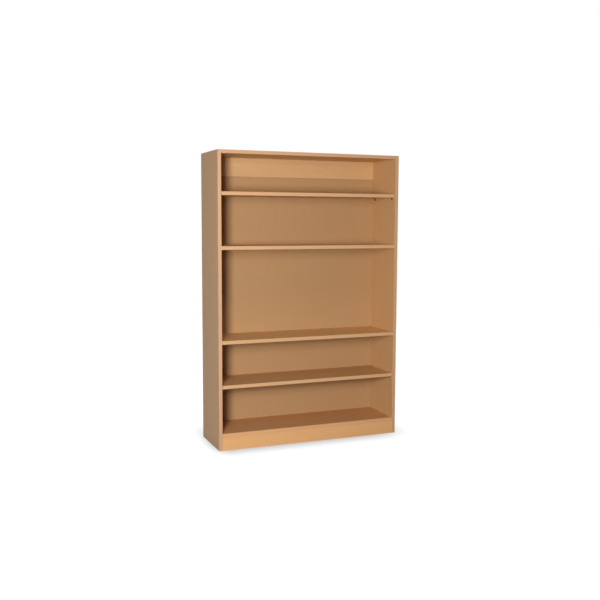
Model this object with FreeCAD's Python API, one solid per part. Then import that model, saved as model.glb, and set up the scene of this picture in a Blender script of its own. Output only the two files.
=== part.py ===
import FreeCAD, Part
import math
import os

# Open bookcase in laminated board, in millimetres.
# X runs to the right, Y to the rear and Z up. The origin is on the floor, in the middle of the footprint.
# Two full-height sides hold a top panel, two fixed shelves, a base shelf on a plinth and a grooved-in back.
# Boards that end inside a side's face are let into housings; those flush with its edges are dowelled.
# Two loose shelves stand on moulded pins, which sit in rows of blind holes bored in the sides.

# Case
case_width = 1000.0
case_depth = 300.0
case_height = 1500.0
board_thickness = 18.0
plinth_height = 68.0

# Edge strips, glued to the front edges of sides, panels and shelves
strip_thickness = 2.0
strip_rounding = 1.0

# Back panel and the grooves that hold it on all four sides
back_thickness = 6.0
back_recess = 24.0
groove_depth = 8.0
groove_play = 0.1
back_edge_play = 0.5

# Rail under the top panel, which takes the upper edge of the back panel
rail_height = 97.0

# Loose shelves
shelf_setback = 10.0
shelf_end_play = 1.5
shelf_rear_play = 2.0

# Pin holes in the sides: a front and a rear column in each bay that takes a loose shelf
hole_column_from_front = 37.0
hole_column_from_back = 41.0
hole_pitch = 25.0
hole_middle_height = 223.0
holes_in_column = 5
hole_depth = 10.0
hole_play = 0.05

# Moulded shelf pin: a round spigot, a plate against the side, a ledge for the shelf and a rib under it
spigot_radius = 2.5
spigot_length = 9.0
pin_width = 10.0
plate_thickness = 1.2
plate_drop = 9.0
plate_corner = 4.0
ledge_rise = 3.0
ledge_thickness = 2.0
ledge_reach = 9.0
ledge_corner = 2.0
rib_thickness = 2.5
rib_hollow = 1.2

# Housings across the sides for the ends of shelves and rails
housing_depth = 6.0
housing_play = 0.1
housing_end_play = 0.5

# Glued dowels with straight flutes, in the ends of the top panel and the front plinth
dowel_radius = 4.0
dowel_length = 35.0
dowel_in_side = 11.0
dowel_play = 0.1
dowel_end_play = 1.0
dowel_flutes = 10
flute_depth = 0.4
dowel_from_edge = 60.0

# Planes that the pieces share
front_y = -case_depth / 2
rear_y = case_depth / 2
board_front_y = front_y + strip_thickness
back_rear_y = rear_y - back_recess
back_front_y = back_rear_y - back_thickness
back_middle_y = (back_front_y + back_rear_y) / 2
outer_x = case_width / 2
inner_x = outer_x - board_thickness
housed_x = inner_x + housing_depth
board_end_x = housed_x - housing_end_play
base_underside = plinth_height
base_top = base_underside + board_thickness
top_underside = case_height - board_thickness
rail_underside = top_underside - rail_height
groove_floor_z = base_top - groove_depth
groove_roof_z = rail_underside + groove_depth

# Three equal bays, parted by the fixed shelves
fixed_names = ("lower", "upper")
bay_count = len(fixed_names) + 1
bay_height = (top_underside - base_top - len(fixed_names) * board_thickness) / bay_count
bay_floors = [base_top + bay * (bay_height + board_thickness) for bay in range(bay_count)]
fixed_undersides = [floor + bay_height for floor in bay_floors[:-1]]

# Pin holes, with the middle one of each column as their datum, and the holes that the shelves use
hole_radius = spigot_radius + hole_play
hole_columns = (front_y + hole_column_from_front, back_front_y - hole_column_from_back)
middle_hole = holes_in_column // 2
hole_steps = [(row - middle_hole) * hole_pitch for row in range(holes_in_column)]
lower_middle_z = bay_floors[0] + hole_middle_height
upper_middle_z = bay_floors[-1] + hole_middle_height
hole_heights = [middle_z + step for middle_z in (lower_middle_z, upper_middle_z) for step in hole_steps]
loose_shelf_holes = {"lower": lower_middle_z, "upper": upper_middle_z + hole_pitch}

# Half length of a loose shelf, and its rear edge
shelf_half_length = inner_x - shelf_end_play
shelf_rear_y = back_front_y - shelf_rear_play

along_x = FreeCAD.Vector(1, 0, 0)
along_y = FreeCAD.Vector(0, 1, 0)
along_z = FreeCAD.Vector(0, 0, 1)
origin = FreeCAD.Vector(0, 0, 0)


def block(x_span, y_span, z_span):
    """A board with square edges between three pairs of planes."""
    sizes = [high - low for low, high in (x_span, y_span, z_span)]
    corner = FreeCAD.Vector(x_span[0], y_span[0], z_span[0])
    return Part.makeBox(*sizes, corner)


def outline(*edges):
    """A flat face inside a closed run of edges."""
    return Part.Face(Part.Wire(edges))


def line(start, end):
    return Part.makeLine(start, end)


def arc(start, middle, end):
    return Part.Arc(start, middle, end).toShape()


def quarter(start, corner, end):
    """A quarter circle from start to end that rounds off a square corner."""
    centre = start + end - corner
    radius = (start - centre).Length
    towards_corner = (corner - centre).normalize()
    return arc(start, centre + towards_corner * radius, end)


def edge_strip(corner, across, along):
    """A strip on a front edge, flat behind, with its two long front corners rounded.

    The corner is at the front; across and along are the strip's width and length as vectors.
    """
    wide = FreeCAD.Vector(across).normalize()
    far_corner = corner + across
    turn_in = wide * strip_rounding
    turn_back = along_y * strip_rounding
    behind = along_y * strip_thickness
    section = outline(
        line(corner + behind, corner + turn_back),
        quarter(corner + turn_back, corner, corner + turn_in),
        line(corner + turn_in, far_corner - turn_in),
        quarter(far_corner - turn_in, far_corner, far_corner + turn_back),
        line(far_corner + turn_back, far_corner + behind),
        line(far_corner + behind, corner + behind),
    )
    return section.extrude(along)


def level_strip(half_length, y, z):
    """The edge strip of a level board, from one end to the other."""
    corner = FreeCAD.Vector(-half_length, y, z)
    return edge_strip(corner, along_z * board_thickness, along_x * half_length * 2)


def dowel_places(ys, z):
    """The dowels in both ends of a board: the side's hand, then the dowel's axis."""
    return [(hand, y, z) for hand in (-1, 1) for y in ys]


def dowel_section(start):
    """The outline of a dowel with straight flutes, square to X: ridges and flutes in turn."""
    radii = (dowel_radius, dowel_radius - flute_depth)
    corners = []
    for index in range(2 * dowel_flutes):
        angle = math.pi * index / dowel_flutes
        radius = radii[index % 2]
        corners.append(start + FreeCAD.Vector(0, radius * math.cos(angle), radius * math.sin(angle)))
    return Part.Face(Part.makePolygon(corners + corners[:1]))


def dowel(place):
    """A dowel across the joint between a side and a board's end."""
    hand, y, z = place
    start = FreeCAD.Vector(hand * (inner_x + dowel_in_side), y, z)
    return dowel_section(start).extrude(along_x * -hand * dowel_length)


def dowel_bore(place):
    """The blind hole for a dowel, which is partly in the side and partly in the board."""
    hand, y, z = place
    start = FreeCAD.Vector(hand * (inner_x + dowel_in_side + dowel_end_play), y, z)
    length = dowel_length + 2 * dowel_end_play
    return Part.makeCylinder(dowel_radius + dowel_play, length, start, along_x * -hand)


def bored(board, places):
    """A board with the dowel holes at those places."""
    return board.cut([dowel_bore(place) for place in places])


def back_groove(x_span, z_span):
    """The space of a groove for one edge of the back panel."""
    return block(x_span, (back_front_y - groove_play, back_rear_y + groove_play), z_span)


def housing(hand, y_span, z_span):
    """The space in a side that takes the end of a board of that depth and height."""
    x_span = sorted((hand * inner_x, hand * housed_x))
    return block(x_span, y_span, z_span)


def shelf_housing(hand, underside, rear):
    """A housing from the front of the side's board, where its edge strip closes it."""
    z_span = (underside - housing_play, underside + board_thickness + housing_play)
    return housing(hand, (board_front_y, rear), z_span)


def rail_housing(hand, z_span):
    """A housing for a board on edge, in line with the back panel."""
    half = board_thickness / 2 + housing_play
    return housing(hand, (back_middle_y - half, back_middle_y + half), z_span)


def pin_bore(hand, y, z):
    """A blind hole for the spigot of a shelf pin, bored from the side's inner face."""
    return Part.makeCylinder(hole_radius, hole_depth, FreeCAD.Vector(hand * inner_x, y, z), along_x * hand)


def side_panel(hand, dowel_holes):
    """A full-height side with its housings, stopped back groove, pin holes and dowel holes."""
    x_span = sorted((hand * inner_x, hand * outer_x))
    panel = block(x_span, (board_front_y, rear_y), (0, case_height))
    groove_x = sorted((hand * inner_x, hand * (inner_x + groove_depth)))
    cuts = [back_groove(groove_x, (groove_floor_z, groove_roof_z))]
    cuts += [shelf_housing(hand, base_underside, rear_y)]
    cuts += [shelf_housing(hand, underside, back_front_y) for underside in fixed_undersides]
    cuts += [rail_housing(hand, (0, plinth_height))]
    cuts += [rail_housing(hand, (rail_underside - housing_play, top_underside))]
    cuts += [pin_bore(hand, y, z) for z in hole_heights for y in hole_columns]
    cuts += [dowel_bore(place) for place in dowel_holes if place[0] == hand]
    return panel.cut(cuts)


def side_strip(hand):
    """The edge strip of a side, from the floor to the top."""
    corner = FreeCAD.Vector(min(hand * inner_x, hand * outer_x), front_y, 0)
    return edge_strip(corner, along_x * board_thickness, along_z * case_height)


def level_board(half_length, underside, rear):
    """A fixed level board, behind its edge strip."""
    z_span = (underside, underside + board_thickness)
    return block((-half_length, half_length), (board_front_y, rear), z_span)


def base_shelf():
    """The base shelf, with a groove along its upper face for the back panel."""
    groove = back_groove((-board_end_x, board_end_x), (groove_floor_z, base_top))
    return level_board(board_end_x, base_underside, rear_y).cut(groove)


def upright_board(half_length, middle_y, z_span):
    """A board on edge."""
    y_span = (middle_y - board_thickness / 2, middle_y + board_thickness / 2)
    return block((-half_length, half_length), y_span, z_span)


def top_rail():
    """The rail under the top panel, grooved from below for the back panel."""
    groove = back_groove((-board_end_x, board_end_x), (rail_underside, groove_roof_z))
    return upright_board(board_end_x, back_middle_y, (rail_underside, top_underside)).cut(groove)


def back_panel():
    """The thin back, seated on the floor of its groove in the base shelf."""
    half_width = inner_x + groove_depth - back_edge_play
    z_span = (groove_floor_z, groove_roof_z - back_edge_play)
    return block((-half_width, half_width), (back_front_y, back_rear_y), z_span)


def loose_shelf(underside):
    """A loose shelf, a little shorter than the bay and behind its own edge strip."""
    y_span = (board_front_y + shelf_setback, shelf_rear_y)
    z_span = (underside, underside + board_thickness)
    return block((-shelf_half_length, shelf_half_length), y_span, z_span)


def pin_plate():
    """The plate that lies against the side, with rounded lower corners."""
    half = pin_width / 2
    top_left = FreeCAD.Vector(0, -half, ledge_rise)
    top_right = FreeCAD.Vector(0, half, ledge_rise)
    low_left = FreeCAD.Vector(0, -half, -plate_drop)
    low_right = FreeCAD.Vector(0, half, -plate_drop)
    inwards = along_y * plate_corner
    upwards = along_z * plate_corner
    face = outline(
        line(top_left, low_left + upwards),
        quarter(low_left + upwards, low_left, low_left + inwards),
        line(low_left + inwards, low_right - inwards),
        quarter(low_right - inwards, low_right, low_right + upwards),
        line(low_right + upwards, top_right),
        line(top_right, top_left),
    )
    return face.extrude(along_x * -plate_thickness)


def pin_ledge():
    """The flat ledge that the shelf rests on, with rounded outer corners."""
    half = pin_width / 2
    underside = ledge_rise - ledge_thickness
    near_left = FreeCAD.Vector(0, -half, underside)
    near_right = FreeCAD.Vector(0, half, underside)
    far_left = FreeCAD.Vector(-ledge_reach, -half, underside)
    far_right = FreeCAD.Vector(-ledge_reach, half, underside)
    sideways = along_y * ledge_corner
    back = along_x * ledge_corner
    face = outline(
        line(near_left, far_left + back),
        quarter(far_left + back, far_left, far_left + sideways),
        line(far_left + sideways, far_right - sideways),
        quarter(far_right - sideways, far_right, far_right + back),
        line(far_right + back, near_right),
        line(near_right, near_left),
    )
    return face.extrude(along_z * ledge_thickness)


def pin_rib():
    """The web under the ledge, with a hollow lower edge."""
    start_y = -rib_thickness / 2
    ledge_underside = ledge_rise - ledge_thickness
    root = FreeCAD.Vector(0, start_y, ledge_underside)
    foot = FreeCAD.Vector(0, start_y, -(plate_drop - plate_corner))
    tip = FreeCAD.Vector(-(ledge_reach - ledge_corner), start_y, ledge_underside)
    chord = tip - foot
    towards_root = chord.cross(along_y).normalize()
    middle = foot + chord / 2 - towards_root * rib_hollow
    face = outline(line(root, foot), arc(foot, middle, tip), line(tip, root))
    return face.extrude(along_y * rib_thickness)


def shelf_pin():
    """A shelf pin for the right side, with its spigot's axis on X and the side's face at zero."""
    spigot = Part.makeCylinder(spigot_radius, spigot_length, origin, along_x)
    return spigot.fuse([pin_plate(), pin_ledge(), pin_rib()]).removeSplitter()


def shelf_pins(hole_z):
    """The four pins under one loose shelf."""
    right = shelf_pin()
    left = right.copy()
    left.rotate(origin, along_z, 180)
    return [
        pin.translated(FreeCAD.Vector(hand * inner_x, y, hole_z))
        for hand, pin in ((-1, left), (1, right))
        for y in hole_columns
    ]


def export(node, *solids):
    """Writes one node, which is a group where it has several solids."""
    shape = solids[0] if len(solids) == 1 else Part.makeCompound(list(solids))
    shape.exportStep(os.path.join("parts", node + ".step"))


def export_dowelled(node, board, places):
    """Writes a board and, as a group of their own, the dowels in its ends."""
    export(node, bored(board, places))
    export(node + "_dowels", *[dowel(place) for place in places])


def main():
    os.makedirs("parts", exist_ok=True)
    front_plinth_y = front_y + board_thickness / 2
    plinth_dowels = dowel_places([front_plinth_y], plinth_height / 2)
    top_ys = (front_y + dowel_from_edge, rear_y - dowel_from_edge)
    top_dowels = dowel_places(top_ys, top_underside + board_thickness / 2)

    for name, hand in (("left", -1), ("right", 1)):
        export("side_panel_" + name, side_panel(hand, top_dowels + plinth_dowels))
        export("side_panel_" + name + "_edging", side_strip(hand))

    export_dowelled("top_panel", level_board(inner_x, top_underside, rear_y), top_dowels)
    export("top_panel_edging", level_strip(inner_x, front_y, top_underside))
    export("top_rear_rail", top_rail())
    export("back_panel", back_panel())
    export("base_shelf", base_shelf())
    export("base_shelf_edging", level_strip(inner_x, front_y, base_underside))
    front_plinth = upright_board(inner_x, front_plinth_y, (0, plinth_height))
    export_dowelled("front_plinth", front_plinth, plinth_dowels)
    export("rear_plinth_rail", upright_board(board_end_x, back_middle_y, (0, plinth_height)))

    for name, underside in zip(fixed_names, fixed_undersides):
        export("fixed_shelf_" + name, level_board(board_end_x, underside, back_front_y))
        export("fixed_shelf_" + name + "_edging", level_strip(inner_x, front_y, underside))

    for name, hole_z in loose_shelf_holes.items():
        underside = hole_z + ledge_rise
        strip_y = front_y + shelf_setback
        export("loose_shelf_" + name, loose_shelf(underside))
        export("loose_shelf_" + name + "_edging", level_strip(shelf_half_length, strip_y, underside))
        export("loose_shelf_" + name + "_pins", *shelf_pins(hole_z))


main()
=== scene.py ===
import math

import bmesh
import bpy
from mathutils import Matrix, Vector


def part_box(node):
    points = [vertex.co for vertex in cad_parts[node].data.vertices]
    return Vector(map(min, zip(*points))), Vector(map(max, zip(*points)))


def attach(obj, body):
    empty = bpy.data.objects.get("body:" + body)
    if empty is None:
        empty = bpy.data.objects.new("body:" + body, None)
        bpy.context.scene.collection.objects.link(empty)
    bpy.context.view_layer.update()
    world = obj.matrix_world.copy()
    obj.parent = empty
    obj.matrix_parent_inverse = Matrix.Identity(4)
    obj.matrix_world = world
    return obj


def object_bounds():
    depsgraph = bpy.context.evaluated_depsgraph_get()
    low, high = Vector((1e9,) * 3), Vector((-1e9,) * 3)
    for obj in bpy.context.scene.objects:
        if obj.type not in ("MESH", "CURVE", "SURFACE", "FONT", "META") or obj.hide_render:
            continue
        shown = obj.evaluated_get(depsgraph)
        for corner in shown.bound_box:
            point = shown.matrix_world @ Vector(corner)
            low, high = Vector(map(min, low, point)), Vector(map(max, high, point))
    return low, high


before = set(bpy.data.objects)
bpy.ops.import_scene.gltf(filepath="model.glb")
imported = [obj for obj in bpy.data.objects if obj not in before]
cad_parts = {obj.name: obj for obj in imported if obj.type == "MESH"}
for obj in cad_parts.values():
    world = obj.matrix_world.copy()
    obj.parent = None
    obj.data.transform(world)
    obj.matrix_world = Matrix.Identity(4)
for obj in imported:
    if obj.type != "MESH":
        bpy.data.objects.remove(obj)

# The open bookcase: finishes for its boards, strips and pins, and a plain studio around it.
# Lengths are in metres. X runs to the right, Y to the rear and Z up, with the floor at zero.

cad_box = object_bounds()
scene = bpy.context.scene

# Camera, fitted to the straight edges of the case in the photograph
CAMERA_PLACE = Vector((-1.6309, -3.9742, 1.1561))
CAMERA_YAW = math.radians(22.269)
CAMERA_PITCH = math.radians(5.614)
CAMERA_ROLL = math.radians(0.216)
FOCAL_LENGTH_MM = 48.47
SENSOR_MM = 36.0

# Studio lamps, square and soft: place, target, size and watts of each.
# The keys light the open front from a little left of the camera, at three heights.
LAMPS = {
    "key": ((-1.81, -2.99, 0.98), (0.0, 0.0, 0.8), 0.50, 72.5),
    "middle_key": ((-1.79, -2.97, 1.29), (0.0, 0.0, 0.8), 0.50, 23.5),
    "upper_key": ((-1.98, -3.71, 1.69), (0.0, 0.0, 0.8), 0.65, 43.5),
    "overhead": ((-0.34, -2.74, 3.97), (0.0, 0.0, 0.8), 1.20, 18.7),
    "rear": ((2.40, 3.60, 2.00), (0.0, 0.0, 0.8), 1.60, 150.0),
    "top": ((0.00, 0.20, 4.50), (0.0, 0.0, 1.5), 1.20, 45.0),
}

# What the world adds to the light on the case. Where it is the background, it is white
WORLD_STRENGTH = 0.02

# Floor: it shows white, and fades to its own dull grey in a soft shadow around the case that is
# painted into its glow.
# Little light comes back from it. The reaches are how far the painted shadow runs past each side.
FLOOR_SIZE = 60.0
FLOOR_COLOUR = (0.10, 0.10, 0.10, 1.0)
FLOOR_SHADE = 1.00
SHADE_REACH_LEFT = 0.065
SHADE_REACH_RIGHT = 0.150
SHADE_REACH_FRONT = 0.160
SHADE_REACH_REAR = 0.360

# Colours, as linear values. The printed finishes have darker streaks and flecks of the same hue
WHITE = (1.0, 1.0, 1.0, 1.0)
BOARD_COLOUR = (0.632, 0.364, 0.163)
EDGE_COLOUR = (0.631, 0.368, 0.187)
BACK_COLOUR = (0.437, 0.253, 0.118)
STREAK_SHADE = (0.910, 0.885, 0.850)
FLECK_SHADE = (0.760, 0.710, 0.650)
CHIP_LIGHT = (0.440, 0.290, 0.150, 1.0)
CHIP_DARK = (0.235, 0.135, 0.064, 1.0)
# Painted shade for the chips in bores and grooves, where little light gets in
BORE_SHADE_COLOUR = (0.045, 0.024, 0.011, 1.0)
FIBRE_LIGHT = (0.340, 0.205, 0.115, 1.0)
FIBRE_DARK = (0.255, 0.148, 0.080, 1.0)
DOWEL_LIGHT = (0.690, 0.520, 0.330, 1.0)
DOWEL_DARK = (0.560, 0.390, 0.220, 1.0)
PIN_COLOUR = (0.016, 0.006, 0.002, 1.0)
PIN_WORN_COLOUR = (0.034, 0.016, 0.008, 1.0)
STEEL_LIGHT = (0.560, 0.550, 0.530, 1.0)
STEEL_DARK = (0.420, 0.410, 0.390, 1.0)

# Most boards and strips have a factor on their colour, fitted to the photograph: partly their own
# tone, and partly painted light and shade that evens out how the lamps light them
NO_TONE = (1.0, 1.0, 1.0)
TONES_AND_PAINTED_LIGHT = {
    "side_panel_left": (0.900, 0.900, 0.930),
    "side_panel_right": (0.895, 0.910, 0.935),
    "top_panel": (1.190, 1.200, 1.140),
    "top_rear_rail": (0.950, 1.020, 1.095),
    "front_plinth": (1.175, 1.105, 1.080),
    "fixed_shelf_lower": (1.060, 1.035, 0.935),
    "loose_shelf_lower": (0.935, 0.870, 0.795),
    "base_shelf": (0.945, 0.825, 0.755),
    "side_panel_left_edging": (0.945, 0.960, 1.080),
    "side_panel_right_edging": (0.900, 0.900, 0.930),
    "top_panel_edging": (0.935, 0.930, 0.980),
    "base_shelf_edging": (1.085, 1.010, 0.935),
}

# The print is fainter on the back than on the boards and strips
BOARD_CONTRAST = 1.00
BACK_CONTRAST = 0.35

# How much painted shade the bores and grooves show over the chips
BORE_SHADE_SHARE = 0.80

# Noise layers: cells per metre along the grain and across it, then detail and roughness
BROAD_STREAKS = ((1.1, 30.0, 30.0), 2.0, 0.50)
FINE_GRAIN = ((4.5, 420.0, 420.0), 3.0, 0.60)
GRAIN_LINES = ((11.0, 1150.0, 1150.0), 2.0, 0.50)
FLECKS = ((150.0, 2400.0, 2400.0), 1.0, 0.30)
CHIP_DUST = ((1400.0, 1400.0, 1400.0), 3.0, 0.60)
FIBRES = ((420.0, 620.0, 620.0), 4.0, 0.65)
CLOUDS = ((9.0, 9.0, 9.0), 2.0, 0.50)
DOWEL_PORES = ((12.0, 700.0, 700.0), 3.0, 0.60)
PIN_TEXTURE = ((2500.0, 2500.0, 2500.0), 2.0, 0.50)
STEEL_TEXTURE = ((3000.0, 3000.0, 3000.0), 2.0, 0.50)

# Chips in raw board: cells per metre along the grain and across it
CHIPS = (380.0, 520.0, 520.0)

# Shares of the layers in one tone
BROAD_SHARE = 0.25
FINE_SHARE = 0.40
LINE_SHARE = 0.35
CHIP_SHARE = 0.60
DUST_SHARE = 0.40
FIBRE_SHARE = 0.70
CLOUD_SHARE = 0.30
PIN_WEAR = 0.50

# Spans of a tone over which one colour turns into the next
STREAK_SPAN = (0.34, 0.64)
FLECK_SPAN = (0.60, 0.72)
CHIP_SPAN = (0.20, 0.80)
FIBRE_SPAN = (0.30, 0.70)
PORE_SPAN = (0.30, 0.70)

# Where a piece starts in the print: its low corner by a factor, or a place of its own
BOARD_START_FACTOR = 17.0
EDGE_START_FACTOR = 13.0
BACK_START = (3.1, 1.7, 0.4)
NO_START = (0.0, 0.0, 0.0)
START_DIGITS = 3

# Roughness and gloss of the satin laminate, the plastic strips, the foil on the back, the dowels,
# the shelf pins and the steel. Raw board and fibre keep the gloss of the piece that they are on
BOARD_ROUGHNESS = 0.50
BOARD_GLOSS = 0.25
EDGE_ROUGHNESS = 0.45
EDGE_GLOSS = 0.30
BACK_ROUGHNESS = 0.60
BACK_GLOSS = 0.15
DOWEL_ROUGHNESS = 0.60
DOWEL_GLOSS = 0.30
PIN_ROUGHNESS = 0.55
PIN_GLOSS = 0.12
STEEL_ROUGHNESS = 0.35
STEEL_GLOSS = 0.50
RAW_ROUGHNESS = 0.88

# Heights of the fine relief in each finish
BOARD_RELIEF = 0.00004
EDGE_RELIEF = 0.00002
BACK_RELIEF = 0.00003
DOWEL_RELIEF = 0.00005
PIN_RELIEF = 0.00002
STEEL_RELIEF = 0.00001

# The print reaches this far in from a printed face. Raw board or fibre shows elsewhere
LAMINATE_DEPTH = 0.0006

# Arrises: their widths, and the angle from which an edge gets one
BOARD_ARRIS = 0.0004
PIN_ARRIS = 0.0003
ARRIS_SEGMENTS = 2
SHARP_ANGLE = math.radians(40.0)
WELD_REACH = 0.000001

# Panel pins that hold the back to the fixed shelves. Their heads narrow to their outer face
NAIL_RADIUS = 0.0016
NAIL_FACE_RADIUS = NAIL_RADIUS * 0.8
NAIL_PROUD = 0.0004
NAIL_PITCH = 0.12
NAIL_SEGMENTS = 20
QUARTER_TURN = math.radians(90.0)


class Graph:
    """A node tree that is built by calls. Each call adds nodes, and most return an output."""

    def __init__(self, tree):
        self.tree = tree

    def node(self, kind, inputs=(), **settings):
        """Adds a node with these settings, and gives each named input a value or a link."""
        made = self.tree.nodes.new(kind)
        for name, value in settings.items():
            setattr(made, name, value)
        for key, value in dict(inputs).items():
            self.feed(made.inputs[key], value)
        return made

    def feed(self, socket, value):
        if isinstance(value, bpy.types.NodeSocket):
            self.tree.links.new(value, socket)
        else:
            socket.default_value = value

    def maths(self, operation, first, second=0.0, third=0.0):
        values = {0: first, 1: second, 2: third}
        return self.node("ShaderNodeMath", values, operation=operation).outputs[0]

    def mixed_colour(self, share, first, second):
        """The first colour at a share of 0, and the second at 1."""
        values = {0: share, 6: first, 7: second}
        return self.node("ShaderNodeMix", values, data_type="RGBA").outputs[2]

    def mixed_value(self, share, first, second):
        """The first value at a share of 0, and the second at 1."""
        return self.node("ShaderNodeMix", {0: share, 2: first, 3: second}).outputs[0]

    def blended(self, first, first_share, second, second_share):
        """The sum of two values, each by its share."""
        part = self.maths("MULTIPLY", second, second_share)
        return self.maths("MULTIPLY_ADD", first, first_share, part)

    def step(self, value, low, high):
        """From 0 at low to 1 at high, smoothly, and level beyond them."""
        values = {"Value": value, "From Min": low, "From Max": high}
        return self.node("ShaderNodeMapRange", values, interpolation_type="SMOOTHSTEP").outputs[0]

    def scaled(self, place, scale, start):
        values = {0: place, 1: scale, 2: start}
        return self.node("ShaderNodeVectorMath", values, operation="MULTIPLY_ADD").outputs[0]

    def noise(self, place, layer, start=NO_START):
        """One of the noise layers above."""
        scale, detail, roughness = layer
        values = {"Vector": self.scaled(place, scale, start), "Scale": 1.0}
        values.update({"Detail": detail, "Roughness": roughness})
        return self.node("ShaderNodeTexNoise", values).outputs["Fac"]

    def cells(self, place, scale, start):
        """A random value for each of a field of cells."""
        values = {"Vector": self.scaled(place, scale, start), "Scale": 1.0}
        colour = self.node("ShaderNodeTexVoronoi", values).outputs["Color"]
        return self.node("ShaderNodeSeparateColor", {0: colour}).outputs[0]

    def place(self):
        """Object coordinates."""
        return self.node("ShaderNodeTexCoord").outputs["Object"]

    def axes(self, place):
        return self.node("ShaderNodeSeparateXYZ", {0: place}).outputs


def along_grain(graph, axes, grain):
    """A place turned so that the grain runs along its X."""
    order = {"X": (0, 1, 2), "Z": (2, 0, 1)}[grain]
    turned = {index: axes[axis] for index, axis in enumerate(order)}
    return graph.node("ShaderNodeCombineXYZ", turned).outputs[0]


def tinted(colour, tint):
    """A colour scaled channel by channel."""
    return tuple(first * second for first, second in zip(colour, tint))


def opaque(colour):
    """A colour as a value for a socket."""
    return tuple(colour) + (1.0,)


def eased(shade, contrast):
    """A shade brought nearer to none, for a fainter print."""
    return tuple(1.0 - contrast * (1.0 - value) for value in shade)


def toned_with_painted_light(colour, node):
    """A colour in the tone of one board or strip, with painted light and shade in it."""
    return tinted(colour, TONES_AND_PAINTED_LIGHT.get(node, NO_TONE))


def start_in_print(low, factor):
    """A piece's own place in the print, so that no two pieces show the same part of it."""
    return tuple(round(factor * value, START_DIGITS) for value in low)


def decor(graph, place, colour, start, contrast):
    """Beech print: faint broad streaks, fine grain lines, and short thin flecks along the grain."""
    streak = opaque(tinted(colour, eased(STREAK_SHADE, contrast)))
    fleck = opaque(tinted(colour, eased(FLECK_SHADE, contrast)))
    broad = graph.noise(place, BROAD_STREAKS, start)
    fine = graph.noise(place, FINE_GRAIN, start)
    lines = graph.noise(place, GRAIN_LINES, start)
    dashes = graph.noise(place, FLECKS, start)
    tone = graph.blended(broad, BROAD_SHARE, fine, FINE_SHARE)
    tone = graph.maths("MULTIPLY_ADD", lines, LINE_SHARE, tone)
    wood = graph.mixed_colour(graph.step(tone, *STREAK_SPAN), streak, opaque(colour))
    mark = graph.step(dashes, *FLECK_SPAN)
    return graph.mixed_colour(mark, wood, fleck), mark


def chipboard(graph, place, start):
    """Raw particle board: pressed chips of several browns."""
    chips = graph.cells(place, CHIPS, start)
    dust = graph.noise(place, CHIP_DUST, start)
    tone = graph.blended(chips, CHIP_SHARE, dust, DUST_SHARE)
    return graph.mixed_colour(graph.step(tone, *CHIP_SPAN), CHIP_DARK, CHIP_LIGHT), tone


def surface(graph, colour, roughness, gloss, relief, height):
    """The shader, with that relief at that height."""
    bump = {"Height": relief, "Distance": height, "Strength": 1.0}
    normal = graph.node("ShaderNodeBump", bump).outputs[0]
    values = {"Base Color": colour, "Roughness": roughness}
    values.update({"Normal": normal, "Specular IOR Level": gloss})
    shader = graph.node("ShaderNodeBsdfPrincipled", values)
    output = graph.node("ShaderNodeOutputMaterial", {"Surface": shader.outputs[0]})
    output.is_active_output = True
    return shader


def new_material(name):
    material = bpy.data.materials.new(name)
    material.use_nodes = True
    material.node_tree.nodes.clear()
    return material, Graph(material.node_tree)


def near(graph, value, plane):
    """1 on a plane and 0 beyond the laminate's depth from it."""
    away = graph.maths("ABSOLUTE", graph.maths("SUBTRACT", value, plane))
    return graph.maths("LESS_THAN", away, LAMINATE_DEPTH)


def on_planes(graph, axes, low, high, chosen):
    """1 on the box planes that stand across the chosen axes."""
    found = 0.0
    for index in chosen:
        found = graph.maths("MAXIMUM", found, near(graph, axes[index], low[index]))
        found = graph.maths("MAXIMUM", found, near(graph, axes[index], high[index]))
    return found


def face_roughness(graph, faced, roughness):
    """The roughness of a printed face, and that of raw board or fibre elsewhere."""
    return graph.maths("MULTIPLY_ADD", faced, roughness - RAW_ROUGHNESS, RAW_ROUGHNESS)


def laminated(node, grain, thin, banded_top=False):
    """Laminated chipboard: the print on both faces, raw chips on the edges, and painted shade on the
    chips in bores and grooves.

    The faces stand across the thin axis. With a banded top, the upper end has the print too.
    """
    material, graph = new_material("laminate_" + node)
    low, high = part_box(node)
    axes = graph.axes(graph.place())
    place = along_grain(graph, axes, grain)
    start = start_in_print(low, BOARD_START_FACTOR)
    print_colour, flecks = decor(graph, place, toned_with_painted_light(BOARD_COLOUR, node), start, BOARD_CONTRAST)
    chip_colour, chips = chipboard(graph, place, start)
    across = "XYZ".index(thin)
    others = [index for index in range(3) if index != across]
    faced = on_planes(graph, axes, low, high, [across])
    outside = on_planes(graph, axes, low, high, others)
    # Painted shade: away from the outer planes, in bores and grooves, the chips turn dark
    painted_bore_shade = graph.maths("MULTIPLY_ADD", outside, -BORE_SHADE_SHARE, BORE_SHADE_SHARE)
    raw_colour = graph.mixed_colour(painted_bore_shade, chip_colour, BORE_SHADE_COLOUR)
    if banded_top:
        faced = graph.maths("MAXIMUM", faced, near(graph, axes[2], high[2]))
    colour = graph.mixed_colour(faced, raw_colour, print_colour)
    roughness = face_roughness(graph, faced, BOARD_ROUGHNESS)
    relief = graph.mixed_value(faced, chips, flecks)
    surface(graph, colour, roughness, BOARD_GLOSS, relief, BOARD_RELIEF)
    return material


def edging(node, grain):
    """The plastic strip on a front edge, lighter than the boards."""
    material, graph = new_material("edging_" + node)
    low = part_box(node)[0]
    place = along_grain(graph, graph.axes(graph.place()), grain)
    start = start_in_print(low, EDGE_START_FACTOR)
    colour, flecks = decor(graph, place, toned_with_painted_light(EDGE_COLOUR, node), start, BOARD_CONTRAST)
    surface(graph, colour, EDGE_ROUGHNESS, EDGE_GLOSS, flecks, EDGE_RELIEF)
    return material


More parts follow.
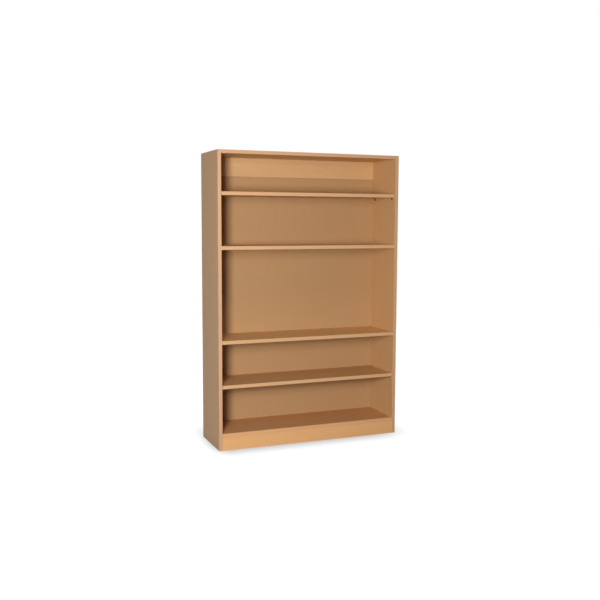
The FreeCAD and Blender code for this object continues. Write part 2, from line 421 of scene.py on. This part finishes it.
def back_board(node):
    """The thin back: the print in front, bare fibreboard behind."""
    material, graph = new_material("back_board")
    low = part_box(node)[0]
    axes = graph.axes(graph.place())
    place = along_grain(graph, axes, "Z")
    print_colour, flecks = decor(graph, place, BACK_COLOUR, BACK_START, BACK_CONTRAST)
    fibres = graph.noise(place, FIBRES)
    clouds = graph.noise(place, CLOUDS)
    tone = graph.blended(fibres, FIBRE_SHARE, clouds, CLOUD_SHARE)
    raw_colour = graph.mixed_colour(graph.step(tone, *FIBRE_SPAN), FIBRE_DARK, FIBRE_LIGHT)
    faced = near(graph, axes[1], low[1])
    colour = graph.mixed_colour(faced, raw_colour, print_colour)
    roughness = face_roughness(graph, faced, BACK_ROUGHNESS)
    relief = graph.mixed_value(faced, fibres, flecks)
    surface(graph, colour, roughness, BACK_GLOSS, relief, BACK_RELIEF)
    return material


def dowel_wood():
    """Beech dowels: pale wood with pores along it."""
    material, graph = new_material("dowel_wood")
    pores = graph.noise(graph.place(), DOWEL_PORES)
    colour = graph.mixed_colour(graph.step(pores, *PORE_SPAN), DOWEL_DARK, DOWEL_LIGHT)
    surface(graph, colour, DOWEL_ROUGHNESS, DOWEL_GLOSS, pores, DOWEL_RELIEF)
    return material


def moulded_pin():
    """Dark brown moulded plastic with a fine spark-eroded texture."""
    material, graph = new_material("shelf_pin")
    grain = graph.noise(graph.place(), PIN_TEXTURE)
    worn = graph.maths("MULTIPLY", grain, PIN_WEAR)
    colour = graph.mixed_colour(worn, PIN_COLOUR, PIN_WORN_COLOUR)
    surface(graph, colour, PIN_ROUGHNESS, PIN_GLOSS, grain, PIN_RELIEF)
    return material


def nail_steel():
    """Bright drawn steel of the panel pins."""
    material, graph = new_material("nail_steel")
    grain = graph.noise(graph.place(), STEEL_TEXTURE)
    colour = graph.mixed_colour(grain, STEEL_DARK, STEEL_LIGHT)
    shader = surface(graph, colour, STEEL_ROUGHNESS, STEEL_GLOSS, grain, STEEL_RELIEF)
    shader.inputs["Metallic"].default_value = 1.0
    return material


def give(node, material):
    """Puts a finish in every slot of a CAD node."""
    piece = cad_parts[node]
    for index in range(len(piece.data.materials)):
        piece.material_slots[index].material = material


def give_edging(board, grain):
    strip = board + "_edging"
    give(strip, edging(strip, grain))


def finish_boards():
    level = ["top_panel", "base_shelf"]
    level += ["fixed_shelf_lower", "fixed_shelf_upper", "loose_shelf_lower", "loose_shelf_upper"]
    upright = ["front_plinth", "rear_plinth_rail", "top_rear_rail"]
    sides = ["side_panel_left", "side_panel_right"]
    for node in level:
        give(node, laminated(node, "X", "Z"))
        give_edging(node, "X")
    for node in upright:
        give(node, laminated(node, "X", "Y"))
    for node in sides:
        give(node, laminated(node, "Z", "X", banded_top=True))
        give_edging(node, "Z")
    give("back_panel", back_board("back_panel"))


def finish_small_pieces():
    wood = dowel_wood()
    plastic = moulded_pin()
    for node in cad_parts:
        if node.endswith("_dowels"):
            give(node, wood)
        if node.endswith("_pins"):
            give(node, plastic)


def soften(node, width):
    """Fine rounded arrises in place of a piece's sharp edges, with its flat faces still flat."""
    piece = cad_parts[node]
    weld = piece.modifiers.new("weld", "WELD")
    weld.merge_threshold = WELD_REACH
    bevel = piece.modifiers.new("arris", "BEVEL")
    bevel.width = width
    bevel.segments = ARRIS_SEGMENTS
    bevel.limit_method = "ANGLE"
    bevel.angle_limit = SHARP_ANGLE
    normals = piece.modifiers.new("normals", "WEIGHTED_NORMAL")
    normals.keep_sharp = True


def soften_pieces():
    """Rounds the boards, the back and the shelf pins. The strips and dowels stay as they are."""
    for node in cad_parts:
        if node.endswith("_pins"):
            soften(node, PIN_ARRIS)
        elif not node.endswith(("_edging", "_dowels")):
            soften(node, BOARD_ARRIS)


def nail_row(shelf, steel):
    """Panel pins through the back into the middle of a fixed shelf's rear edge."""
    low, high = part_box(shelf)
    back_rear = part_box("back_panel")[1].y
    middle = (low.z + high.z) / 2
    reach = high.x - NAIL_PITCH / 2
    count = int(2 * reach / NAIL_PITCH) + 1
    turn = Matrix.Rotation(QUARTER_TURN, 4, "X")
    mesh = bmesh.new()
    for index in range(count):
        x = -reach + 2 * reach * index / (count - 1)
        place = Matrix.Translation((x, back_rear + NAIL_PROUD / 2, middle)) @ turn
        bmesh.ops.create_cone(mesh, cap_ends=True, segments=NAIL_SEGMENTS, radius1=NAIL_FACE_RADIUS,
                              radius2=NAIL_RADIUS, depth=NAIL_PROUD, matrix=place)
    data = bpy.data.meshes.new("nails_" + shelf)
    mesh.to_mesh(data)
    mesh.free()
    data.materials.append(steel)
    row = bpy.data.objects.new("nails_" + shelf, data)
    scene.collection.objects.link(row)
    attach(row, "case")


def nail_rows():
    steel = nail_steel()
    for shelf in ("fixed_shelf_lower", "fixed_shelf_upper"):
        nail_row(shelf, steel)


def make_camera():
    forward = Vector((math.sin(CAMERA_YAW) * math.cos(CAMERA_PITCH),
                      math.cos(CAMERA_YAW) * math.cos(CAMERA_PITCH),
                      -math.sin(CAMERA_PITCH)))
    level_right = Vector((math.cos(CAMERA_YAW), -math.sin(CAMERA_YAW), 0.0))
    level_up = level_right.cross(forward)
    right = level_right * math.cos(CAMERA_ROLL) + level_up * math.sin(CAMERA_ROLL)
    up = level_up * math.cos(CAMERA_ROLL) - level_right * math.sin(CAMERA_ROLL)
    data = bpy.data.cameras.new("camera")
    data.lens = FOCAL_LENGTH_MM
    data.sensor_width = SENSOR_MM
    camera = bpy.data.objects.new("camera", data)
    turn = Matrix((right, up, -forward)).transposed().to_4x4()
    camera.matrix_world = Matrix.Translation(CAMERA_PLACE) @ turn
    scene.collection.objects.link(camera)
    scene.camera = camera


def make_lamp(name, place, target, size, watts):
    data = bpy.data.lights.new(name, "AREA")
    data.shape = "SQUARE"
    data.size = size
    data.energy = watts
    lamp = bpy.data.objects.new(name, data)
    lamp.location = place
    lamp.rotation_mode = "QUATERNION"
    lamp.rotation_quaternion = (Vector(target) - Vector(place)).to_track_quat("-Z", "Y")
    lamp.visible_camera = False
    scene.collection.objects.link(lamp)


def make_lamps():
    for name, (place, target, size, watts) in LAMPS.items():
        make_lamp(name, place, target, size, watts)


def seen_directly(graph):
    """1 for rays that show the background: from the camera, in a gloss and through glass."""
    rays = graph.node("ShaderNodeLightPath").outputs
    shown = graph.maths("MAXIMUM", rays["Is Camera Ray"], rays["Is Glossy Ray"])
    return graph.maths("MAXIMUM", shown, rays["Is Transmission Ray"])


def make_world():
    world = bpy.data.worlds.new("studio")
    world.use_nodes = True
    world.node_tree.nodes.clear()
    graph = Graph(world.node_tree)
    seen = seen_directly(graph)
    strength = graph.maths("MULTIPLY_ADD", seen, 1.0 - WORLD_STRENGTH, WORLD_STRENGTH)
    light = graph.node("ShaderNodeBackground", {"Color": WHITE, "Strength": strength})
    graph.node("ShaderNodeOutputWorld", {"Surface": light.outputs[0]})
    scene.world = world


def fades(graph, value, half, reach_low, reach_high):
    """1 under the case, half at its edges, and 0 beyond each edge by the reach there."""
    low = graph.step(value, -half - reach_low, -half + reach_low)
    high = graph.step(value, half + reach_high, half - reach_high)
    return graph.maths("MULTIPLY", low, high)


def painted_shadow_of_case(graph):
    """The case's soft shadow, painted on the floor, from 1 under its middle to 0."""
    axes = graph.axes(graph.place())
    half_width, half_depth = cad_box[1].xy
    across = fades(graph, axes[0], half_width, SHADE_REACH_LEFT, SHADE_REACH_RIGHT)
    along = fades(graph, axes[1], half_depth, SHADE_REACH_FRONT, SHADE_REACH_REAR)
    return graph.maths("MULTIPLY", across, along)


def make_floor():
    mesh = bmesh.new()
    bmesh.ops.create_grid(mesh, x_segments=1, y_segments=1, size=FLOOR_SIZE / 2)
    data = bpy.data.meshes.new("floor")
    mesh.to_mesh(data)
    mesh.free()
    material, graph = new_material("floor")
    seen = seen_directly(graph)
    matt = graph.node("ShaderNodeBsdfDiffuse", {"Color": FLOOR_COLOUR})
    # The glow is dimmed by the painted shadow around the case
    glow = graph.maths("MULTIPLY_ADD", painted_shadow_of_case(graph), -FLOOR_SHADE, 1.0)
    strength = graph.maths("MULTIPLY", seen, glow)
    shine = graph.node("ShaderNodeEmission", {"Color": WHITE, "Strength": strength})
    both = graph.node("ShaderNodeAddShader", {0: matt.outputs[0], 1: shine.outputs[0]})
    graph.node("ShaderNodeOutputMaterial", {"Surface": both.outputs[0]})
    data.materials.append(material)
    floor = bpy.data.objects.new("floor", data)
    scene.collection.objects.link(floor)


finish_boards()
finish_small_pieces()
soften_pieces()
nail_rows()
make_camera()
make_lamps()
make_world()
make_floor()
scene.view_settings.view_transform = "Standard"
